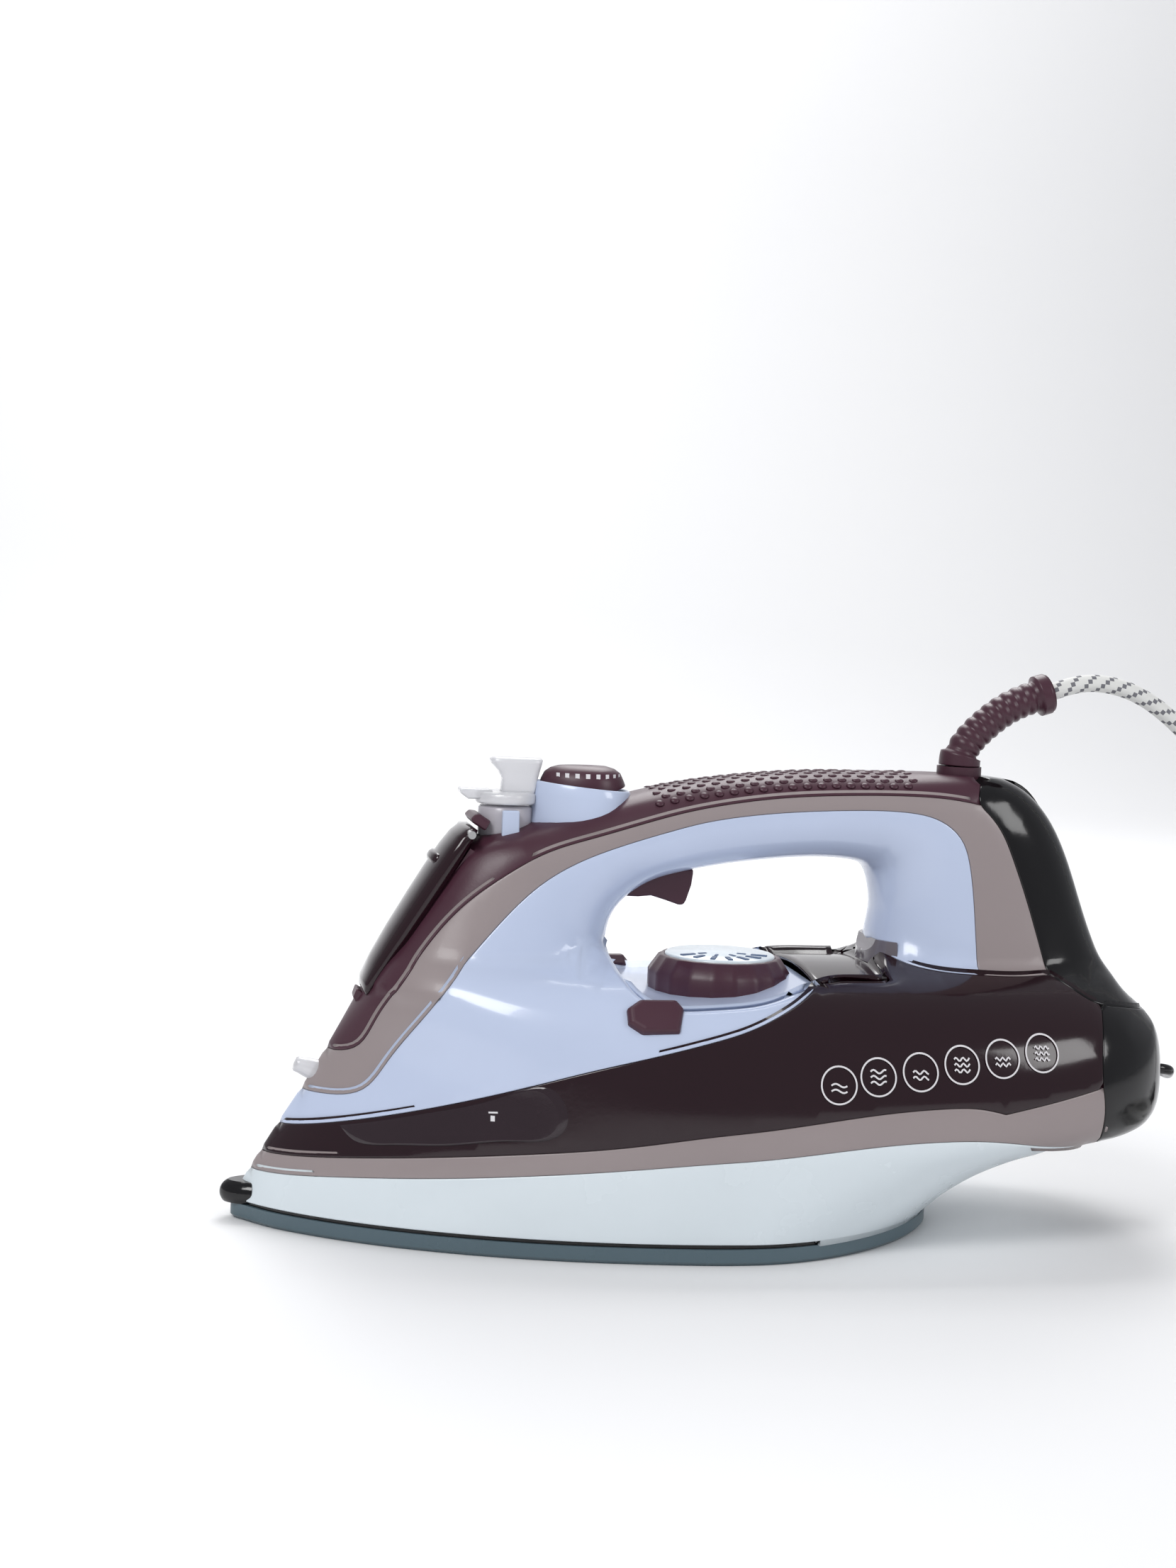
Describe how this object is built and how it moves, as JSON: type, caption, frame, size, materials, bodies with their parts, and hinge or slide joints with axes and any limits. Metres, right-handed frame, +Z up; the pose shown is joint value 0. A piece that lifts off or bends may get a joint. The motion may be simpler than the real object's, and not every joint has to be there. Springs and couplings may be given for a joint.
{
  "type": "steam iron",
  "caption": "Steam iron with translucent water tank, open handle, thermostat dial, filler lid, spray and steam buttons, swivelling cord guard and braided lead with plug.",
  "frame": {"origin": "on the soleplate's working face, on the centre plane, below the front of the thermostat dial", "axes": "+X from the nose towards the heel, +Z up from the soleplate towards the handle, +Y to the user's left when the nose points away"},
  "size_m": [0.4306, 0.1202, 0.1746],
  "materials": {
    "sole_metal": "satin enamel with a brushed rim",
    "cool_white": "gloss moulded",
    "warm_grey": "satin moulded",
    "tank_plum": "polished translucent",
    "pale_blue": "gloss moulded",
    "plum": "fine-grained soft touch",
    "black": "gloss moulded",
    "frost_clear": "polished clear plastic",
    "grey_plastic": "satin moulded",
    "steel": "bright",
    "cast_alloy": "as cast",
    "amber_lens": "polished clear plastic",
    "cord_braid": "woven braid with grey checks"
  },
  "bodies": {
    "iron": {"burst_pump": "grey_plastic", "burst_spring": "steel", "button_pod": "pale_blue", "chamber_lid": "cast_alloy", "coil_tie": "black", "cord_clip": "black", "cord_coil": "cord_braid", "cord_lead": "cord_braid", "cord_tail": "cord_braid", "drip_valve": "steel", "filler_neck": "plum", "filler_seat": "plum", "grip_cover": "plum", "guard_bush": "plum", "heat_shield": "black", "heating_element": "steel", "heel_stand": "black", "inner_cable": "black", "lower_band": "warm_grey", "lower_skirt": "cool_white", "main_shell": "pale_blue", "pilot_lamp": "amber_lens", "pilot_lens": "amber_lens", "plug_body": "black", "plug_pins": "steel", "rear_cover": "black", "selector_base": "grey_plastic", "selector_index": "pale_blue", "soleplate": "sole_metal", "spray_nozzle": "frost_clear", "spray_pump": "grey_plastic", "spray_spring": "steel", "steam_chamber": "cast_alloy", "terminal_block": "grey_plastic", "thermal_fuse": "steel", "thermostat": "steel", "trigger_pin": "steel", "trigger_spring": "steel", "upper_trim": "warm_grey", "water_tank": "tank_plum", "lid_pin": "steel"},
    "lid": {"filler_lid": "tank_plum"},
    "selector": {"steam_selector": "frost_clear", "valve_stem": "steel"},
    "dial": {"dial": "plum", "dial_disc": "cool_white", "dial_shaft": "steel"},
    "spray_button": {"spray_button": "tank_plum"},
    "burst_button": {"burst_button": "tank_plum"},
    "trigger": {"steam_trigger": "plum"},
    "near_side_button": {"near_side_button": "plum"},
    "far_side_button": {"far_side_button": "plum"},
    "guard": {"cord_guard": "plum"}
  },
  "joints": [
    {"name": "lid_hinge", "type": "hinge", "parent": "iron", "child": "lid", "pos_m": [-0.07725, 0, 0.11984], "axis": [0, 1, 0], "range_deg": [0, 75]},
    {"name": "selector_turn", "type": "hinge", "parent": "iron", "child": "selector", "pos_m": [-0.0655, 0, 0.13], "axis": [0, 0, 1], "range_deg": [-35, 35]},
    {"name": "dial_turn", "type": "hinge", "parent": "iron", "child": "dial", "pos_m": [0.004, 0, 0.075], "axis": [0, 0, 1], "range_deg": [0, 290]},
    {"name": "spray_press", "type": "slide", "parent": "iron", "child": "spray_button", "axis": [0, 0, -1], "range_m": [0, 0.002], "stiffness_N_per_m": 1500, "springref_m": -0.0004, "deforming": ["spray_spring"]},
    {"name": "burst_press", "type": "slide", "parent": "iron", "child": "burst_button", "axis": [0, 0, -1], "range_m": [0, 0.002], "stiffness_N_per_m": 1500, "springref_m": -0.0004, "deforming": ["burst_spring"]},
    {"name": "trigger_pull", "type": "hinge", "parent": "iron", "child": "trigger", "pos_m": [-0.026, 0, 0.1065], "axis": [0, -1, 0], "range_deg": [0, 8], "stiffness_Nm_per_rad": 0.4, "springref_deg": -2.86, "deforming": ["trigger_spring"]},
    {"name": "near_side_press", "type": "slide", "parent": "iron", "child": "near_side_button", "axis": [0, 0.75, -0.6614], "range_m": [0, 0.002], "stiffness_N_per_m": 1200, "springref_m": -0.0004},
    {"name": "far_side_press", "type": "slide", "parent": "iron", "child": "far_side_button", "axis": [0, -0.75, -0.6614], "range_m": [0, 0.002], "stiffness_N_per_m": 1200, "springref_m": -0.0004},
    {"name": "guard_swivel", "type": "hinge", "parent": "iron", "child": "guard", "pos_m": [0.079, 0, 0.144], "axis": [0, 0, 1], "range_deg": [-30, 30], "deforming": ["cord_lead"]}
  ]
}
